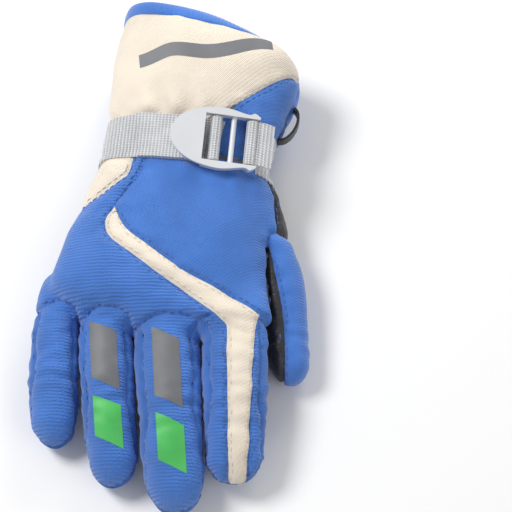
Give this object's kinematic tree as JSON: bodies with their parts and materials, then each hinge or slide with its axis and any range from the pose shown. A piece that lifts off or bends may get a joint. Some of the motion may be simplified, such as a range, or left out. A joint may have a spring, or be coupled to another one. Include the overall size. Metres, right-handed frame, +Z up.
{
  "type": "ski glove",
  "caption": "Child's padded ski glove for the right hand, with gauntlet cuff, webbing wrist strap and ladder-lock buckle, lined and open at the cuff.",
  "frame": {"origin": "on the plane that the glove rests on, under the middle of its bounding box", "axes": "+Z up from the palm to the back of the hand; fingers point along -Y and the cuff's mouth along +Y; the thumb is on the +X side"},
  "size_m": [0.1262, 0.2342, 0.0546],
  "materials": {
    "black_grip": "textured",
    "black_tape": "ribbed",
    "blue_fabric": "twill",
    "blue_gusset": "woven",
    "buckle_plastic": "satin",
    "cream": "woven",
    "fleece": "brushed",
    "patch_green": "heat-pressed film",
    "patch_grey": "heat-pressed film",
    "print_grey": "print film",
    "webbing": "ribbed weave"
  },
  "bodies": {
    "hand": {"back_knuckle_panel": "blue_fabric", "back_stripe": "cream", "back_yoke": "blue_fabric", "cuff_back_corner": "cream", "hand_lining": "fleece", "palm_grip": "black_grip", "palm_panel": "blue_fabric"},
    "cuff": {"cuff_back_panel": "cream", "cuff_binding": "blue_fabric", "cuff_gusset": "blue_gusset", "cuff_lining": "fleece", "cuff_palm_panel": "blue_fabric", "cuff_print": "print_grey", "hang_loop": "black_tape", "strap_anchor": "webbing", "strap_band": "webbing"},
    "buckle": {"buckle": "buckle_plastic", "strap_loop": "webbing"},
    "strap_tail": {"strap_tail": "webbing"},
    "thumb": {"thumb_back": "blue_fabric", "thumb_grip": "black_grip", "thumb_lining": "fleece"},
    "index_base": {"index_base_back": "blue_fabric", "index_base_gussets": "blue_gusset", "index_base_lining": "fleece", "index_base_palm": "blue_fabric", "index_base_stripe": "cream"},
    "index_tip": {"index_tip_back": "blue_fabric", "index_tip_gussets": "blue_gusset", "index_tip_lining": "fleece", "index_tip_palm": "blue_fabric", "index_tip_stripe": "cream"},
    "middle_base": {"middle_base_back": "blue_fabric", "middle_base_gussets": "blue_gusset", "middle_base_lining": "fleece", "middle_base_palm": "blue_fabric", "middle_patch_grey": "patch_grey"},
    "middle_tip": {"middle_patch_green": "patch_green", "middle_tip_back": "blue_fabric", "middle_tip_gussets": "blue_gusset", "middle_tip_lining": "fleece", "middle_tip_palm": "blue_fabric"},
    "ring_base": {"ring_base_back": "blue_fabric", "ring_base_gussets": "blue_gusset", "ring_base_lining": "fleece", "ring_base_palm": "blue_fabric", "ring_patch_grey": "patch_grey"},
    "ring_tip": {"ring_patch_green": "patch_green", "ring_tip_back": "blue_fabric", "ring_tip_gussets": "blue_gusset", "ring_tip_lining": "fleece", "ring_tip_palm": "blue_fabric"},
    "little_base": {"little_base_back": "blue_fabric", "little_base_gussets": "blue_gusset", "little_base_lining": "fleece", "little_base_palm": "blue_fabric"},
    "little_tip": {"little_tip_back": "blue_fabric", "little_tip_gussets": "blue_gusset", "little_tip_lining": "fleece", "little_tip_palm": "blue_fabric"}
  },
  "joints": [
    {"name": "index_knuckle", "type": "hinge", "parent": "hand", "child": "index_base", "pos_m": [0.02886, -0.0364, 0.01877], "axis": [1, -0.0087, 0], "range_deg": [0, 60]},
    {"name": "index_middle_joint", "type": "hinge", "parent": "index_base", "child": "index_tip", "pos_m": [0.02858, -0.06853, 0.01696], "axis": [1, -0.0087, 0], "range_deg": [0, 70]},
    {"name": "middle_knuckle", "type": "hinge", "parent": "hand", "child": "middle_base", "pos_m": [-0.00203, -0.0379, 0.01647], "axis": [0.9976, 0.0698, 0], "range_deg": [0, 60]},
    {"name": "middle_middle_joint", "type": "hinge", "parent": "middle_base", "child": "middle_tip", "pos_m": [0.00057, -0.07512, 0.01571], "axis": [0.9976, 0.0698, 0], "range_deg": [0, 70]},
    {"name": "ring_knuckle", "type": "hinge", "parent": "hand", "child": "ring_base", "pos_m": [-0.03003, -0.0339, 0.01437], "axis": [0.9962, 0.0872, 0], "range_deg": [0, 60]},
    {"name": "ring_middle_joint", "type": "hinge", "parent": "ring_base", "child": "ring_tip", "pos_m": [-0.02711, -0.06735, 0.01367], "axis": [0.9962, 0.0872, 0], "range_deg": [0, 70]},
    {"name": "little_knuckle", "type": "hinge", "parent": "hand", "child": "little_base", "pos_m": [-0.05183, -0.0294, 0.01217], "axis": [1, 0.0087, 0], "range_deg": [0, 60]},
    {"name": "little_middle_joint", "type": "hinge", "parent": "little_base", "child": "little_tip", "pos_m": [-0.05161, -0.05549, 0.0117], "axis": [1, 0.0087, 0], "range_deg": [0, 70]},
    {"name": "thumb_swing", "type": "hinge", "parent": "hand", "child": "thumb", "pos_m": [0.04806, 0.0041, 0.01357], "axis": [0, 0, 1], "range_deg": [0, 35]},
    {"name": "wrist_bend", "type": "hinge", "parent": "hand", "child": "cuff", "pos_m": [0.00316, 0.0341, 0.02097], "axis": [0.9945, -0.1045, 0], "range_deg": [-25, 25]},
    {"name": "buckle_tilt", "type": "hinge", "parent": "cuff", "child": "buckle", "pos_m": [0.03561, 0.04556, 0.04356], "axis": [0.1018, 0.969, 0.225], "range_deg": [0, 35]},
    {"name": "tail_pull", "type": "slide", "parent": "cuff", "child": "strap_tail", "axis": [-0.9945, 0.1045, 0], "range_m": [0, 0.008]}
  ],
  "couplings": [
    {"joint": "index_middle_joint", "follows": "index_knuckle", "ratio": 1.16},
    {"joint": "middle_middle_joint", "follows": "middle_knuckle", "ratio": 1.16},
    {"joint": "ring_middle_joint", "follows": "ring_knuckle", "ratio": 1.16},
    {"joint": "little_middle_joint", "follows": "little_knuckle", "ratio": 1.16}
  ]
}
